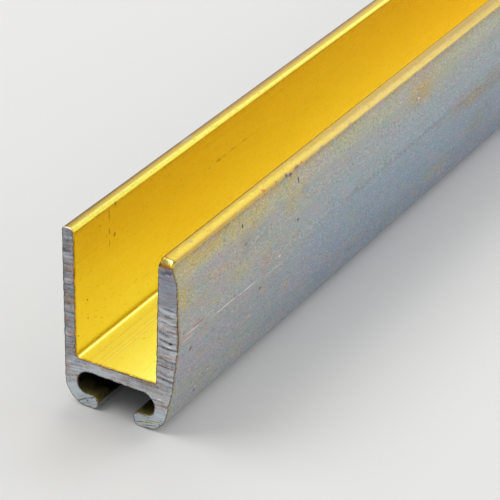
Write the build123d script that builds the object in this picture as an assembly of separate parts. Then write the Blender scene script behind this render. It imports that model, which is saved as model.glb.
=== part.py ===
from build123d import *
import os

# A length of brass u-channel, extruded in one piece and standing on its two lips.
# X runs along the stock, Y across it with the thick wall towards -Y, and Z is up.
# The section is laid out from the middle of the groove, then centred on its own width.

# Length of the piece
stock_length = 300.0

# Groove between the two walls, open at the top; both walls lean out a little
groove_width = 9.75
groove_depth = 15.15
groove_lean = 0.17
groove_floor_rise = 0.25
groove_thin_corner_radius = 0.45
groove_thick_corner_radius = 0.15

# Web between the groove and the slot
web_thickness = 1.35

# T-slot under the web, each end set in from the groove's wall, and its mouth between the lips
slot_height = 2.65
slot_end_inset = 0.17
mouth_width = 4.3
lip_thickness = 1.7

# Rounding of the slot and the lip tips, as shares of the slot's height and the lip's thickness
slot_roof_share = 0.56
slot_lip_share = 0.4
lip_tip_share = 0.45

# Thin wall, on the +Y side, with its top rounded by shares of its thickness
thin_wall_thickness = 1.45
thin_toe_radius = 2.9
thin_outer_share = 0.25
thin_inner_share = 0.44

# Thick wall, on the -Y side: it swells from its top to a crest and tapers down to its toe
thick_top_thickness = 1.6
thick_top_fall = 0.2
thick_shoulder_thickness = 2.32
thick_crest_thickness = 2.68
thick_foot_thickness = 2.08
thick_toe_thickness = 1.0
thick_outer_share = 0.22
thick_inner_share = 0.25
thick_shoulder_radius = 3.0
thick_crest_radius = 6.0
thick_foot_radius = 5.0
thick_toe_radius = 2.8

# Heights of the shoulder and the crest, as shares of the groove's depth
shoulder_height_share = 0.825
crest_height_share = 0.4

roof_height = lip_thickness + slot_height
floor_height = roof_height + web_thickness
section_height = floor_height + groove_depth
groove_half = groove_width / 2
slot_half = groove_half - slot_end_inset
mouth_half = mouth_width / 2


def lean(height):
    """Distance that the walls stand further out at this height than at the groove's floor."""
    return groove_lean * (height - floor_height) / groove_depth


def thin_side(thickness, height):
    """Point in the thin wall, this thickness out from the groove."""
    return (groove_half + thickness + lean(height), height)


def thick_side(thickness, height):
    """Point in the thick wall, this thickness out from the groove."""
    return (-groove_half - thickness - lean(height), height)


def walls_and_groove():
    """Corners with their radii, from the thin wall's toe over both walls to the thick wall's toe."""
    shoulder_height = floor_height + groove_depth * shoulder_height_share
    crest_height = floor_height + groove_depth * crest_height_share
    thick_top = section_height - thick_top_fall
    return [
        (thin_side(thin_wall_thickness, 0), thin_toe_radius),
        (thin_side(thin_wall_thickness, section_height), thin_wall_thickness * thin_outer_share),
        (thin_side(0, section_height), thin_wall_thickness * thin_inner_share),
        (thin_side(0, floor_height), groove_thin_corner_radius),
        (thick_side(0, floor_height + groove_floor_rise), groove_thick_corner_radius),
        (thick_side(0, section_height), thick_top_thickness * thick_inner_share),
        (thick_side(thick_top_thickness, thick_top), thick_top_thickness * thick_outer_share),
        (thick_side(thick_shoulder_thickness, shoulder_height), thick_shoulder_radius),
        (thick_side(thick_crest_thickness, crest_height), thick_crest_radius),
        (thick_side(thick_foot_thickness, floor_height), thick_foot_radius),
        (thick_side(thick_toe_thickness, 0), thick_toe_radius),
    ]


def lip_and_slot(side):
    """Corners with their radii, from a lip's foot to the slot's roof; side is 1 or -1."""
    tip_radius = lip_thickness * lip_tip_share
    return [
        ((side * mouth_half, 0), tip_radius),
        ((side * mouth_half, lip_thickness), tip_radius),
        ((side * slot_half, lip_thickness), slot_height * slot_lip_share),
        ((side * slot_half, roof_height), slot_height * slot_roof_share),
    ]


def section():
    """Closed outline of the whole section, rounded at its corners, as a face across the stock."""
    corners = walls_and_groove() + lip_and_slot(-1) + lip_and_slot(1)[::-1]
    points = [point for point, _ in corners]
    radii = [radius for _, radius in corners]
    with BuildSketch(Plane.YZ) as sketch:
        with BuildLine():
            FilletPolyline(points, radius=radii, close=True)
        make_face()
    return sketch.sketch


def channel():
    """The stock, extruded both ways from its middle and centred on the width of its section."""
    stock = extrude(section(), stock_length / 2, both=True)
    middle = stock.bounding_box().center()
    return Pos(0, -middle.Y, 0) * stock


os.makedirs("parts", exist_ok=True)
export_step(channel(), "parts/channel.step")
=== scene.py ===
"""Looks of a sawn length of brass u-channel: bright in its groove, tarnished outside, sawn at both ends."""
import logging
import math
from dataclasses import dataclass, field
from enum import Enum

import bmesh
import bpy
import numpy as np
from mathutils import Matrix, Vector


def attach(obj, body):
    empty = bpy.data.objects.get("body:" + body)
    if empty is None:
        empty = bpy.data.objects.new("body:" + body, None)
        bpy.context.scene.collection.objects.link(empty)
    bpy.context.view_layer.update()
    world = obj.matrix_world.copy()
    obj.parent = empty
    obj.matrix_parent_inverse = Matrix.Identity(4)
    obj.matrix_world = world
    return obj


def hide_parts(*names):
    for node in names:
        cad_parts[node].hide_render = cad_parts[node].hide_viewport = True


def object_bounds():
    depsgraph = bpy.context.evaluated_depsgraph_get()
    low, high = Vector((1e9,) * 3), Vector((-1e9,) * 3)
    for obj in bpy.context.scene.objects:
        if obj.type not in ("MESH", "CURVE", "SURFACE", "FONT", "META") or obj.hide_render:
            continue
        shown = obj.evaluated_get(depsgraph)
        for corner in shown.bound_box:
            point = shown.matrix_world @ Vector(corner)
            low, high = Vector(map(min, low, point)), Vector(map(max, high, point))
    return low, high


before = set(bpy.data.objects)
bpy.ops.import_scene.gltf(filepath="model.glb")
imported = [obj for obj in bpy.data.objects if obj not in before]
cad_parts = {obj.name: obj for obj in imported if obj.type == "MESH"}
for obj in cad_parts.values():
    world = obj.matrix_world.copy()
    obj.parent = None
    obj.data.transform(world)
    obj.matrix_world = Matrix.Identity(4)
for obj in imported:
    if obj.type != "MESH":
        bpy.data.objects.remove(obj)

CAD_BOX = [list(corner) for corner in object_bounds()]
MM = 0.001

log = logging.getLogger("channel")

Colour = tuple[float, float, float]
Bands = tuple[tuple[float, Colour], ...]
Point = tuple[float, float]
Span = tuple[float, float]
Triple = tuple[float, float, float]
Shares = tuple[float, ...]


class Side(Enum):
    """The two walls, by the way each lies from the middle of the groove."""

    THIN = 1
    THICK = -1


class Turn(Enum):
    """Places where the section's outline is divided, in the order in which it runs round."""

    THIN_FLANK = 0
    THIN_TOP_OUTER = 1
    THIN_TOP_INNER = 2
    THIN_FLOOR = 3
    THICK_FLOOR = 4
    THICK_TOP_INNER = 5
    THICK_TOP_OUTER = 6
    THICK_FLANK = 7
    THICK_HEEL = 8
    THICK_TIP_LOWER = 9
    THICK_TIP_UPPER = 10
    THICK_ROOF = 11
    THIN_ROOF = 12
    THIN_TIP_UPPER = 13
    THIN_TIP_LOWER = 14
    THIN_HEEL = 15


Corner = tuple[Turn | None, Point, float]


def table_noise(place: np.ndarray, seed: int, size: int = 257) -> np.ndarray:
    """Smooth random values along a line.

    A table of seeded random numbers is read at each place, and the two nearest are mixed by
    the smooth step 3t^2 - 2t^3 of the place's fraction t.

    Args:
        place: positions along the line, in steps of the table.
        seed: which table to use.
        size: how many numbers it holds before it repeats.

    Returns:
        Values from 0 to 1, in the shape of place.
    """
    table = np.random.default_rng(seed).random(size)
    whole = np.floor(place).astype(int)
    part = place - whole
    part = part * part * (3 - 2 * part)
    return table[whole % size] * (1 - part) + table[(whole + 1) % size] * part


def field_noise(across: np.ndarray, up: np.ndarray, seed: int, size: int = 97) -> np.ndarray:
    """Smooth random values over a plane, from a square table read as table_noise reads its line.

    Args:
        across: first coordinate, in steps of the table.
        up: second coordinate, in steps of the table.
        seed: which table to use.
        size: the table's side.

    Returns:
        Values from 0 to 1.
    """
    table = np.random.default_rng(seed).random((size, size))
    column, row = np.floor(across).astype(int), np.floor(up).astype(int)
    part_a, part_b = across - column, up - row
    part_a, part_b = part_a ** 2 * (3 - 2 * part_a), part_b ** 2 * (3 - 2 * part_b)
    left, right = column % size, (column + 1) % size
    low, high = row % size, (row + 1) % size
    below = table[left, low] * (1 - part_a) + table[right, low] * part_a
    above = table[left, high] * (1 - part_a) + table[right, high] * part_a
    return below * (1 - part_b) + above * part_b


def rounded(points: np.ndarray, radii: np.ndarray, steps: int = 25) -> np.ndarray:
    """Closed outline with an arc at every corner.

    Each arc's centre lies on the corner's bisector, radius / sin(half the corner) from the
    corner, and the arc turns from one side's direction to the other's.

    Args:
        points: the corners, one row each.
        radii: the radius at each corner.
        steps: how many points each arc gets.

    Returns:
        The outline's points, one row each, in the corners' order.
    """
    before = np.roll(points, 1, axis=0) - points
    after = np.roll(points, -1, axis=0) - points
    before /= np.linalg.norm(before, axis=1, keepdims=True)
    after /= np.linalg.norm(after, axis=1, keepdims=True)
    half = np.arccos(np.clip(np.sum(before * after, axis=1), -1, 1)) / 2
    inward = before + after
    inward /= np.linalg.norm(inward, axis=1, keepdims=True)
    onward = after - inward * np.sum(after * inward, axis=1, keepdims=True)
    onward /= np.linalg.norm(onward, axis=1, keepdims=True)
    centre = points + inward * (radii / np.sin(half))[:, None]
    turn = np.linspace(-1, 1, steps)[None, :] * (math.pi / 2 - half)[:, None]
    spoke = onward[:, None, :] * np.sin(turn)[..., None] - inward[:, None, :] * np.cos(turn)[..., None]
    return (centre[:, None, :] + radii[:, None, None] * spoke).reshape(-1, 2)


@dataclass(frozen=True)
class Section:
    """The channel's cross-section, in millimetres from the groove's middle and the lips' underside."""

    groove_width: float = 9.75
    groove_depth: float = 15.15
    groove_lean: float = 0.17
    floor_rise: float = 0.25
    thin_floor_radius: float = 0.45
    thick_floor_radius: float = 0.15
    web_thickness: float = 1.35
    slot_height: float = 2.65
    slot_end_inset: float = 0.17
    mouth_width: float = 4.3
    lip_thickness: float = 1.7
    slot_roof_share: float = 0.56
    slot_lip_share: float = 0.4
    lip_tip_share: float = 0.45
    thin_wall: float = 1.45
    thin_toe_radius: float = 2.9
    thin_outer_share: float = 0.25
    thin_inner_share: float = 0.44
    thick_top: float = 1.6
    thick_top_fall: float = 0.2
    thick_shoulder: float = 2.32
    thick_crest: float = 2.68
    thick_foot: float = 2.08
    thick_toe: float = 1.0
    thick_outer_share: float = 0.22
    thick_inner_share: float = 0.25
    thick_shoulder_radius: float = 3.0
    thick_crest_radius: float = 6.0
    thick_foot_radius: float = 5.0
    thick_toe_radius: float = 2.8
    shoulder_height_share: float = 0.825
    crest_height_share: float = 0.4
    heel_height: float = 3.3
    bend_weight: float = 0.5
    wall_count: int = 140
    thickness_count: int = 14
    web_count: int = 84
    flank_count: int = 24
    lip_count: int = 50

    @property
    def roof(self) -> float:
        """Height of the slot's roof."""
        return self.lip_thickness + self.slot_height

    @property
    def floor(self) -> float:
        """Height of the groove's floor at the thin wall."""
        return self.roof + self.web_thickness

    @property
    def top(self) -> float:
        """Height of the whole section."""
        return self.floor + self.groove_depth

    def wall(self, side: Side, thickness: float, height: float) -> Point:
        """Point in a wall.

        Args:
            side: which wall.
            thickness: how far out from the groove.
            height: how far up.

        Returns:
            The point across and up.
        """
        lean = self.groove_lean * (height - self.floor) / self.groove_depth
        return (side.value * (self.groove_width / 2 + thickness + lean), height)

    def corners(self) -> list[Corner]:
        """The outline's corners, from the thin wall's toe upwards and round.

        Returns:
            For each the division that lies there, if one does, its point and its radius.
        """
        thin, thick = Side.THIN, Side.THICK
        shoulder = self.floor + self.groove_depth * self.shoulder_height_share
        crest = self.floor + self.groove_depth * self.crest_height_share
        return [
            (None, self.wall(thin, self.thin_wall, 0), self.thin_toe_radius),
            (Turn.THIN_TOP_OUTER, self.wall(thin, self.thin_wall, self.top),
             self.thin_wall * self.thin_outer_share),
            (Turn.THIN_TOP_INNER, self.wall(thin, 0, self.top), self.thin_wall * self.thin_inner_share),
            (Turn.THIN_FLOOR, self.wall(thin, 0, self.floor), self.thin_floor_radius),
            (Turn.THICK_FLOOR, self.wall(thick, 0, self.floor + self.floor_rise), self.thick_floor_radius),
            (Turn.THICK_TOP_INNER, self.wall(thick, 0, self.top), self.thick_top * self.thick_inner_share),
            (Turn.THICK_TOP_OUTER, self.wall(thick, self.thick_top, self.top - self.thick_top_fall),
             self.thick_top * self.thick_outer_share),
            (None, self.wall(thick, self.thick_shoulder, shoulder), self.thick_shoulder_radius),
            (None, self.wall(thick, self.thick_crest, crest), self.thick_crest_radius),
            (Turn.THICK_FLANK, self.wall(thick, self.thick_foot, self.floor), self.thick_foot_radius),
            (None, self.wall(thick, self.thick_toe, 0), self.thick_toe_radius),
            *self.lip(thick), *self.lip(thin)[::-1]]

    def lip(self, side: Side) -> list[Corner]:
        """Corners from a lip's foot to the slot's roof.

        Args:
            side: which wall the lip is under.

        Returns:
            For each the division that lies there, if one does, its point and its radius.
        """
        tip = self.lip_thickness * self.lip_tip_share
        mouth = side.value * self.mouth_width / 2
        end = side.value * (self.groove_width / 2 - self.slot_end_inset)
        return [(Turn[f"{side.name}_TIP_LOWER"], (mouth, 0), tip),
                (Turn[f"{side.name}_TIP_UPPER"], (mouth, self.lip_thickness), tip),
                (None, (end, self.lip_thickness), self.slot_height * self.slot_lip_share),
                (Turn[f"{side.name}_ROOF"], (end, self.roof), self.slot_height * self.slot_roof_share)]

    def marks(self) -> dict[Turn, Point]:
        """A point near each place where the outline is divided."""
        heel_thickness = self.thick_toe + (self.thick_foot - self.thick_toe) * self.heel_height / self.floor
        at_corners = {turn: point for turn, point, _ in self.corners() if turn is not None}
        return at_corners | {
            Turn.THIN_FLANK: self.wall(Side.THIN, self.thin_wall, self.floor),
            Turn.THIN_HEEL: self.wall(Side.THIN, self.thin_wall, self.heel_height),
            Turn.THICK_HEEL: self.wall(Side.THICK, heel_thickness, self.heel_height)}

    def counts(self) -> list[int]:
        """How many steps the outline takes from each division to the next."""
        wall, across, web = self.wall_count, self.thickness_count, self.web_count
        flank, lip = self.flank_count, self.lip_count
        return [wall, across, wall, web, wall, across, wall, flank,
                lip, across, lip, web, lip, across, lip, flank]


@dataclass
class Ring:
    """The section's outline as evenly spaced points, which every ring of the stock repeats."""

    section: Section
    fine_count: int = 12000
    points: np.ndarray = field(init=False)
    starts: np.ndarray = field(init=False)

    def __post_init__(self) -> None:
        """Spaces the points between the divisions, closer together where the outline bends.

        Steps are equal in length plus bend_weight times the angle turned.
        """
        _, points, radii = zip(*self.section.corners())
        outline = rounded(np.array(points), np.array(radii))
        ahead = np.roll(outline, -1, axis=0) - outline
        length = np.linalg.norm(ahead, axis=1)
        heading = np.unwrap(np.arctan2(ahead[:, 1], ahead[:, 0]))
        bend = np.abs(np.diff(heading, append=heading[-1]))
        weight = length + self.section.bend_weight * (bend + np.roll(bend, 1)) / 2
        walked = np.concatenate([[0], np.cumsum(weight)])
        closed = np.vstack([outline, outline[:1]])
        fine = np.linspace(0, walked[-1], self.fine_count, endpoint=False)
        dense = np.column_stack([np.interp(fine, walked, closed[:, axis]) for axis in (0, 1)])
        marks = self.section.marks()
        places = np.array([fine[np.argmin(np.sum((dense - marks[turn]) ** 2, axis=1))] for turn in Turn])
        round_trip = np.append(places, places[0])
        round_trip[1:] += np.where(round_trip[1:] < round_trip[:-1], walked[-1], 0)
        counts = self.section.counts()
        steps = [np.linspace(start, stop, count, endpoint=False)
                 for start, stop, count in zip(np.unwrap(round_trip[:-1], period=walked[-1]),
                                               np.unwrap(round_trip[1:], period=walked[-1]), counts)]
        spread = np.concatenate(steps) % walked[-1]
        self.points = np.column_stack([np.interp(spread, walked, closed[:, axis]) for axis in (0, 1)])
        self.starts = np.concatenate([[0], np.cumsum(counts)])

    @property
    def size(self) -> int:
        """How many points the ring has."""
        return len(self.points)

    def girth(self) -> np.ndarray:
        """Distance walked round the outline to each point, in millimetres."""
        step = np.linalg.norm(np.diff(self.points, axis=0), axis=1)
        return np.concatenate([[0], np.cumsum(step)])

    def outward(self) -> np.ndarray:
        """Unit vector out of the metal at each point: the tangent turned a quarter to the right."""
        tangent = np.roll(self.points, -1, axis=0) - np.roll(self.points, 1, axis=0)
        tangent /= np.linalg.norm(tangent, axis=1, keepdims=True)
        return np.column_stack([tangent[:, 1], -tangent[:, 0]])

    def run(self, start: Turn, stop: Turn, points: np.ndarray) -> np.ndarray:
        """Points from one division to a neighbouring one, both ends included, either way round.

        Args:
            start: the division to leave from.
            stop: the division to reach, next to start.
            points: the ring's points, or a changed copy of them.

        Returns:
            The points in order from start to stop.
        """
        total = len(Turn)
        forward = (stop.value - start.value) % total == 1
        first = start if forward else stop
        span = np.arange(self.starts[first.value], self.starts[first.value + 1] + 1) % self.size
        return points[span] if forward else points[span[::-1]]


def coons(bottom: np.ndarray, top: np.ndarray, left: np.ndarray, right: np.ndarray) -> np.ndarray:
    """Grid of points inside four edges that meet at their ends.

    The grid is the mix of bottom and top, plus the mix of left and right, less the mix of
    the four corners (a Coons patch).

    Args:
        bottom: points from the lower left corner to the lower right one.
        top: as many points from the upper left corner to the upper right one.
        left: points from the lower left corner to the upper left one.
        right: as many points from the lower right corner to the upper right one.

    Returns:
        Points in rows from bottom to top, in columns from left to right.
    """
    across = np.linspace(0, 1, len(bottom))[None, :, None]
    up = np.linspace(0, 1, len(left))[:, None, None]
    ruled = bottom[None] * (1 - up) + top[None] * up + left[:, None] * (1 - across) + right[:, None] * across
    corners = ((bottom[0] * (1 - across) + bottom[-1] * across) * (1 - up)
               + (top[0] * (1 - across) + top[-1] * across) * up)
    return ruled - corners


@dataclass(frozen=True)
class Furrows:
    """A saw's marks of one kind: depth, distance apart and length, and where their noise starts."""

    depth: float
    pitch: float
    run: float
    start: float


@dataclass(frozen=True)
class SawCut:
    """Relief that a saw leaves on an end, in millimetres deep."""

    seed: int
    thick_gouges: tuple[float, ...] = ()
    thin_gouges: tuple[float, ...] = ()
    gouge_depth: float = 0.045
    gouge_width: float = 0.12
    gouge_from: float = 4.6
    gouge_run: float = 0.9
    gouge_wander: float = 0.16
    gouge_least: float = 0.35
    wander_start: float = 7.3
    wander_seed: int = 5
    bite_start: float = 3.1
    bite_seed: int = 4
    ridges: Furrows = Furrows(0.06, 0.8, 7.0, 40.0)
    teeth: Furrows = Furrows(0.02, 0.33, 3.0, 90.0)
    grain: Furrows = Furrows(0.03, 0.24, 0.9, 300.0)
    across_start: float = 60.0
    foot_slope: float = 0.35
    foot_reach: float = 2.6
    body_slope: float = 0.04
    bow: float = 0.006
    cup: float = 0.13
    cup_from_across: float = 4.4
    cup_from_up: float = 5.2
    thin_middle: float = 5.75
    thick_middle: float = 6.15

    def line(self, place: np.ndarray) -> np.ndarray:
        """Which stroke of the blade crosses each place.

        The strokes lie nearly level, climb towards the thick wall near the foot, and cup in the
        walls: height, plus slope times the distance across, plus bow times its square, less cup
        times the square of the distance from the wall's middle.

        Args:
            place: points across and up.

        Returns:
            The stroke's height at the groove's middle, for each point.
        """
        across, up = place[..., 0], place[..., 1]
        slope = self.body_slope + self.foot_slope * np.exp(-((up / self.foot_reach) ** 2))
        middle = np.where(across > 0, self.thin_middle, self.thick_middle)
        in_wall = np.clip(np.abs(across) - self.cup_from_across, 0, 1) * np.clip(up - self.cup_from_up, 0, 1)
        cupped = self.cup * in_wall * (np.abs(across) - middle) ** 2
        return up + slope * across + self.bow * across ** 2 - cupped

    def gouges(self, place: np.ndarray) -> np.ndarray:
        """Share of a gouge at each place: strokes at certain heights that bit deeper in one wall.

        Each is a Gaussian dip across the stroke, broken up by noise along it.

        Args:
            place: points across and up.

        Returns:
            The share for each point, from 0 to 1.
        """
        across, line = place[..., 0], self.line(place)
        run = across / self.gouge_run
        total = np.zeros_like(line)
        for side, heights in ((Side.THICK, self.thick_gouges), (Side.THIN, self.thin_gouges)):
            within = np.clip(side.value * across - self.gouge_from, 0, 1)
            for number, height in enumerate(heights):
                swerve = table_noise(run + self.wander_start * number, self.seed + self.wander_seed) - 0.5
                bite = table_noise(run + self.bite_start * number, self.seed + self.bite_seed)
                dip = np.exp(-(((line - height + self.gouge_wander * swerve) / self.gouge_width) ** 2))
                total += within * dip * (self.gouge_least + (1 - self.gouge_least) * bite)
        return np.minimum(total, 1)

    def depth(self, place: np.ndarray) -> np.ndarray:
        """Depth of the cut at each place: broad ridges, tooth marks on them, a torn grain and gouges.

        Args:
            place: points across and up.

        Returns:
            The depth for each point, in millimetres.
        """
        line = self.line(place)
        across = place[..., 0] + self.across_start
        relief = sum(
            kind.depth * field_noise(across / kind.run, line / kind.pitch + kind.start, self.seed + number)
            for number, kind in enumerate((self.ridges, self.teeth, self.grain)))
        return relief + self.gouge_depth * self.gouges(place)


@dataclass
class Stock:
    """The whole piece: an extruded skin between two sawn ends, as one closed mesh."""

    section: Section
    length: float
    shift: float
    near_cut: SawCut = SawCut(11, (15.2, 14.3, 13.5, 12.7, 12.1, 11.3, 10.6, 9.1, 8.3, 7.2, 6.7),
                              (19.3, 18.6, 17.0, 16.2, 14.7, 13.6, 12.4, 9.6, 8.4, 7.4))
    far_cut: SawCut = SawCut(47, (17.6, 14.7, 13.1, 11.0, 9.6, 8.9, 6.8), (18.5, 16.2, 14.9, 11.7, 8.1))
    step: float = 6.5
    end_stations: tuple[float, ...] = (0, 0.05, 0.11, 0.19, 0.29, 0.41, 0.55, 0.72, 0.95, 1.3, 1.8, 2.6, 3.8)
    relief_reach: float = 1.0
    arris: float = 0.03
    arris_seeds: tuple[int, int] = (21, 22)
    ragged: float = 0.09
    ragged_power: int = 3
    burr_pitch: float = 0.4
    worn_height: float = 1.0
    worn_length: float = 0.75
    worn_power: float = 1.4
    worn_from: float = 18.6
    worn_middle: float = -5.7
    worn_reach: float = 1.5
    worn_least: float = 0.2
    die_line: float = 0.007
    die_pitch: float = 0.32
    die_seed: int = 5
    wave: float = 0.03
    wave_pitch: float = 34.0
    wave_girth: float = 7.0
    wave_seed: int = 6
    rim_reach: float = 4.0
    thin_fade: Span = (-0.35, 0.05)
    thick_fade: Span = (0.05, 0.5)
    merge_gap: float = 1e-8
    sharp_angle: float = 50.0
    ring: Ring = field(init=False)

    SKIN_READINGS = ("outside", "slot", "rim", "girth", "end_gap")
    END_READINGS = ("edge", "saw_line", "saw_depth", "gouge")

    def __post_init__(self) -> None:
        """Works out the outline."""
        self.ring = Ring(self.section)

    def stations(self) -> np.ndarray:
        """Distances of the rings from an end, close together there and a step apart beyond."""
        crowded = np.array(self.end_stations)
        count = int(round((self.length - 2 * crowded[-1]) / self.step))
        middle = np.linspace(crowded[-1], self.length - crowded[-1], count + 1)[1:-1]
        return np.concatenate([crowded, middle, self.length - crowded[::-1]])

    def arris_points(self, seed: int) -> np.ndarray:
        """The outline drawn in by the worn, ragged edge between the skin and a sawn end.

        Args:
            seed: which table of noise makes it ragged.

        Returns:
            The points across and up.
        """
        place = self.ring.girth() / self.burr_pitch
        inset = self.arris + self.ragged * table_noise(place, seed) ** self.ragged_power
        return self.ring.points - self.ring.outward() * inset[:, None]

    def skin(self) -> np.ndarray:
        """Points of the skin, a ring of them at each station.

        The outline is carried along the stock, drawn in by fine die lines that run the whole
        length and by a long slow wave. Near an end the rings follow that end's saw relief.

        Returns:
            Places along, across and up, in millimetres, a row of them for each ring.
        """
        along = self.stations()
        girth = self.ring.girth()
        column = along[:, None]
        die = self.die_line * table_noise(girth / self.die_pitch, self.die_seed)
        across = girth[None, :] / self.wave_girth
        wave = self.wave * field_noise(column / self.wave_pitch, across, self.wave_seed)
        inset = die[None, :] + wave
        flat = self.ring.points[None] - self.ring.outward()[None] * inset[..., None]
        flat[0], flat[-1] = (self.arris_points(seed) for seed in self.arris_seeds)
        near = self.near_cut.depth(flat[0])[None, :] * np.clip(1 - column / self.relief_reach, 0, 1)
        from_far = (self.length - column) / self.relief_reach
        far = self.far_cut.depth(flat[-1])[None, :] * np.clip(1 - from_far, 0, 1)
        place = np.broadcast_to(column, near.shape) + near - far
        return np.dstack([place, flat])

    def end_patches(self, edge: np.ndarray) -> list[np.ndarray]:
        """Grids that fill an end: two walls, two junctions, two lips and the web between them.

        Args:
            edge: the ring's points where the end meets the skin.

        Returns:
            A grid of points across and up for each patch.
        """
        def run(start: Turn, stop: Turn) -> np.ndarray:
            """The edge's points from a division to its neighbour."""
            return self.ring.run(start, stop, edge)

        def cut(start: Turn, stop: Turn, count: int) -> np.ndarray:
            """A straight row of points from a division to another, in that many steps."""
            ends = edge[self.ring.starts[start.value]], edge[self.ring.starts[stop.value]]
            share = np.linspace(0, 1, count + 1)[:, None]
            return ends[0] * (1 - share) + ends[1] * share

        across, flank = self.section.thickness_count, self.section.flank_count
        patches = []
        sides = {}
        for name in ("THIN", "THICK"):
            flank_at, heel, roof, floor_at, top_outer, top_inner, lower, upper = (
                Turn[f"{name}_{part}"] for part in (
                    "FLANK", "HEEL", "ROOF", "FLOOR", "TOP_OUTER", "TOP_INNER", "TIP_LOWER", "TIP_UPPER"))
            shelf, sole = cut(flank_at, floor_at, across), cut(heel, roof, across)
            sides[name] = cut(roof, floor_at, flank)
            patches += [
                coons(shelf, run(top_outer, top_inner), run(flank_at, top_outer), run(floor_at, top_inner)),
                coons(sole, shelf, run(heel, flank_at), sides[name]),
                coons(run(lower, upper), sole, run(lower, heel), run(upper, roof)),
            ]
        patches.append(coons(run(Turn.THIN_ROOF, Turn.THICK_ROOF), run(Turn.THIN_FLOOR, Turn.THICK_FLOOR),
                             sides["THIN"], sides["THICK"]))
        return patches

    def wear(self, points: np.ndarray) -> np.ndarray:
        """Rounds over the top of the thick wall at the near end, where the corner is worn away.

        The metal above worn_from is squeezed down by worn_height times the worn_power of what
        is left of worn_length, so that the top falls off towards the end. The fall is full at
        worn_middle and less by the square of the distance across from there.

        Args:
            points: places along, across and up, in millimetres.

        Returns:
            The places after the wear.
        """
        worn = points.copy()
        along, across, up = points[..., 0], points[..., 1], points[..., 2]
        fall = self.worn_height * np.clip(1 - along / self.worn_length, 0, 1) ** self.worn_power
        fall *= np.clip(1 - ((across - self.worn_middle) / self.worn_reach) ** 2, self.worn_least, 1)
        share = np.clip((up - self.worn_from) / (self.section.top - self.worn_from), 0, 1)
        worn[..., 2] -= np.where(across < 0, fall * share, 0)
        return worn

    def placed(self, points: np.ndarray) -> np.ndarray:
        """Points in the object's frame, in metres, from places along, across and up in millimetres."""
        moved = self.wear(points.reshape(-1, 3))
        return (moved + [-self.length / 2, self.shift, 0]) * MM

    def build(self) -> bpy.types.Object:
        """Makes the closed mesh with its surface readings and its two kinds of face.

        Returns:
            The new object, at the origin.
        """
        skin = self.skin()
        rows, size = skin.shape[:2]
        grid = np.arange(rows * size).reshape(rows, size)
        after = np.roll(grid, -1, axis=1)
        faces = [np.stack([grid[:-1], after[:-1], after[1:], grid[1:]], axis=-1).reshape(-1, 4)]
        kinds = [np.zeros(len(faces[0]), int)]
        readings = self.skin_readings()
        parts, marks = [skin.reshape(-1, 3)], [readings]
        total = rows * size
        first = len(self.SKIN_READINGS)
        for near, cut, row in ((True, self.near_cut, 0), (False, self.far_cut, -1)):
            edge = skin[row, :, 1:]
            readings[row % rows * size:][:size, first:] = self.end_readings(edge, edge, cut)[:, first:]
            for patch in self.end_patches(edge):
                up, wide = patch.shape[:2]
                place = cut.depth(patch)
                along = place if near else self.length - place
                parts.append(np.dstack([along, patch]).reshape(-1, 3))
                marks.append(self.end_readings(patch.reshape(-1, 2), edge, cut))
                index = total + np.arange(up * wide).reshape(up, wide)
                quads = np.stack([index[:-1, :-1], index[:-1, 1:], index[1:, 1:], index[1:, :-1]], axis=-1)
                faces.append(quads.reshape(-1, 4))
                kinds.append(np.ones(quads.size // 4, int))
                total += up * wide
        mesh = self.mesh("channel_stock", self.placed(np.vstack(parts)), np.vstack(faces),
                         np.concatenate(kinds), np.vstack(marks))
        made = bpy.data.objects.new("channel_stock", mesh)
        bpy.context.scene.collection.objects.link(made)
        return made

    def skin_readings(self) -> np.ndarray:
        """Readings of the skin's points, a column for each name, with those of the ends left at 0.

        The rim is how far a point lies outwards from the inner arris of its wall's top.

        Returns:
            One row for each point.
        """
        girth = self.ring.girth()
        at = {turn: girth[self.ring.starts[turn.value]] for turn in Turn}
        thin_from, thin_to = (at[Turn.THIN_TOP_OUTER] + fade for fade in self.thin_fade)
        thick_from, thick_to = (at[Turn.THICK_TOP_OUTER] + fade for fade in self.thick_fade)
        turns = [0, thin_from, thin_to, thick_from, thick_to, girth[-1]]
        outside = np.interp(girth, turns, [1, 1, 0, 0, 1, 1])
        slot_ends = [at[Turn.THICK_TIP_LOWER], at[Turn.THICK_TIP_UPPER],
                     at[Turn.THIN_TIP_UPPER], at[Turn.THIN_TIP_LOWER]]
        slot = np.interp(girth, slot_ends, [0, 1, 1, 0])
        rim = np.where(girth < at[Turn.THIN_FLOOR], at[Turn.THIN_TOP_INNER] - girth,
                       girth - at[Turn.THICK_TOP_INNER])
        rim = np.clip(rim, -self.rim_reach, self.rim_reach)
        along = self.stations()[:, None]
        end_gap = np.minimum(along, self.length - along)
        blank = np.zeros((len(along), self.ring.size))
        columns = [outside, slot, rim, girth, end_gap] + [blank] * len(self.END_READINGS)
        full = [np.broadcast_to(column, blank.shape) for column in columns]
        return np.dstack(full).reshape(-1, len(columns))

    def end_readings(self, place: np.ndarray, edge: np.ndarray, cut: SawCut) -> np.ndarray:
        """Readings of an end's points, a column for each name, with those of the skin left at 0.

        Args:
            place: the points across and up.
            edge: the end's outline, to which the distance is read.
            cut: the saw's relief.

        Returns:
            One row for each point.
        """
        gap = np.sqrt(np.min(np.sum((place[:, None] - edge[None]) ** 2, axis=-1), axis=1))
        deepest = cut.ridges.depth + cut.teeth.depth + cut.grain.depth
        relief = (cut.depth(place) - cut.gouge_depth * cut.gouges(place)) / deepest
        blank = np.zeros((len(place), len(self.SKIN_READINGS)))
        return np.column_stack([blank, gap, cut.line(place), relief, cut.gouges(place)])

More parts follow.
